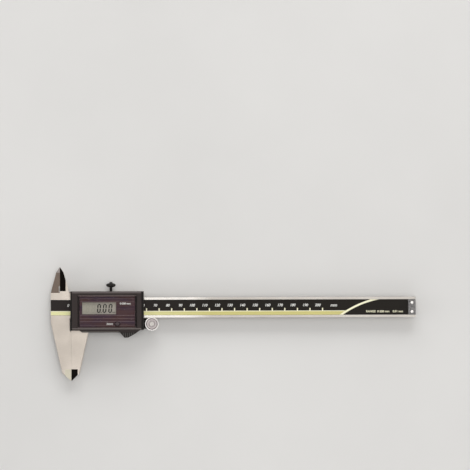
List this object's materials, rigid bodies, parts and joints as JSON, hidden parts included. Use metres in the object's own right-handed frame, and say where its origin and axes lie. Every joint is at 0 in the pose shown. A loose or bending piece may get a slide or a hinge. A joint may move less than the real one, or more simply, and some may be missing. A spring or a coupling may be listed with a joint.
{
  "type": "digital caliper",
  "caption": "Solar-powered digital caliper, 200 mm range, closed: steel beam with printed scale, sliding display unit, outside and inside jaws, depth rod, thumb roller and lock screw.",
  "frame": {"origin": "middle of the base of the closed caliper's bounding box; the slider's back rests on Z = 0", "axes": "+X along the beam, away from the fixed jaw; +Y towards the inside blades; +Z out of the display"},
  "size_m": [0.2904, 0.09, 0.0146],
  "materials": {
    "satin_steel": "satin ground stainless steel",
    "stop_steel": "coarse blasted stainless steel",
    "screw_steel": "turned steel",
    "roller_steel": "knurled steel, turned face",
    "knob_metal": "dark plated, satin",
    "blackened_steel": "blackened spring steel",
    "bearing_brass": "bare rolled brass",
    "printed_scale": "black printed scale with a gold stripe",
    "label_aluminium": "fine brushed, blank",
    "black_plastic": "fine moulded texture",
    "tray_plastic": "plain moulded",
    "button_plastic": "satin moulded",
    "chip_plastic": "plain moulded",
    "clear_window": "polished clear cover",
    "solar_cell": "glossy dark cell with fine stripes",
    "lcd_glass": "polished display glass",
    "circuit_board": "green solder mask",
    "connector_rubber": "soft matt",
    "can_metal": "drawn metal can",
    "dome_steel": "bright spring steel"
  },
  "bodies": {
    "beam": {"main_beam": "satin_steel", "scale_board": "circuit_board", "scale_label": "printed_scale", "end_stop": "stop_steel", "end_stop_screws": "screw_steel"},
    "slider": {"slider_frame": "satin_steel", "gib_strip": "bearing_brass", "gib_screws": "screw_steel", "depth_rod": "satin_steel", "depth_rod_screws": "screw_steel", "rear_label": "label_aluminium", "display_housing": "black_plastic", "display_window": "clear_window", "solar_cell": "solar_cell", "lcd_glass": "lcd_glass", "lcd_holder": "tray_plastic", "lcd_connectors": "connector_rubber", "main_board": "circuit_board", "reader_head": "circuit_board", "controller_chip": "chip_plastic", "storage_capacitor": "can_metal", "switch_dome": "dome_steel", "housing_screws": "screw_steel", "roller_arm": "blackened_steel", "roller_arm_screw": "screw_steel", "roller_pin": "screw_steel", "roller_washer": "screw_steel"},
    "thumb_roller": {"thumb_roller": "roller_steel"},
    "lock_pad": {"lock_pad": "bearing_brass"},
    "lock_screw": {"lock_screw": "knob_metal"},
    "zero_button": {"zero_button": "button_plastic"}
  },
  "joints": [
    {"name": "slider_travel", "type": "slide", "parent": "beam", "child": "slider", "axis": [1, 0, 0], "range_m": [0, 0.2]},
    {"name": "thumb_roller_spin", "type": "hinge", "parent": "slider", "child": "thumb_roller", "pos_m": [-0.06465, 0, 0.0046], "axis": [0, 0, 1], "continuous": true},
    {"name": "lock_pad_advance", "type": "slide", "parent": "slider", "child": "lock_pad", "axis": [0, 1, 0], "range_m": [-0.0000625, 0.00025]},
    {"name": "lock_screw_turn", "type": "hinge", "parent": "lock_pad", "child": "lock_screw", "pos_m": [-0.09725, 0.029, 0.00435], "axis": [0, 1, 0], "range_deg": [-45, 180]},
    {"name": "zero_button_press", "type": "slide", "parent": "slider", "child": "zero_button", "axis": [0, 0, -1], "range_m": [0, 0.0004], "stiffness_N_per_m": 600}
  ],
  "couplings": [
    {"joint": "thumb_roller_spin", "follows": "slider_travel", "rad_per_m": 201.21},
    {"joint": "lock_screw_turn", "follows": "lock_pad_advance", "rad_per_m": 12566}
  ]
}
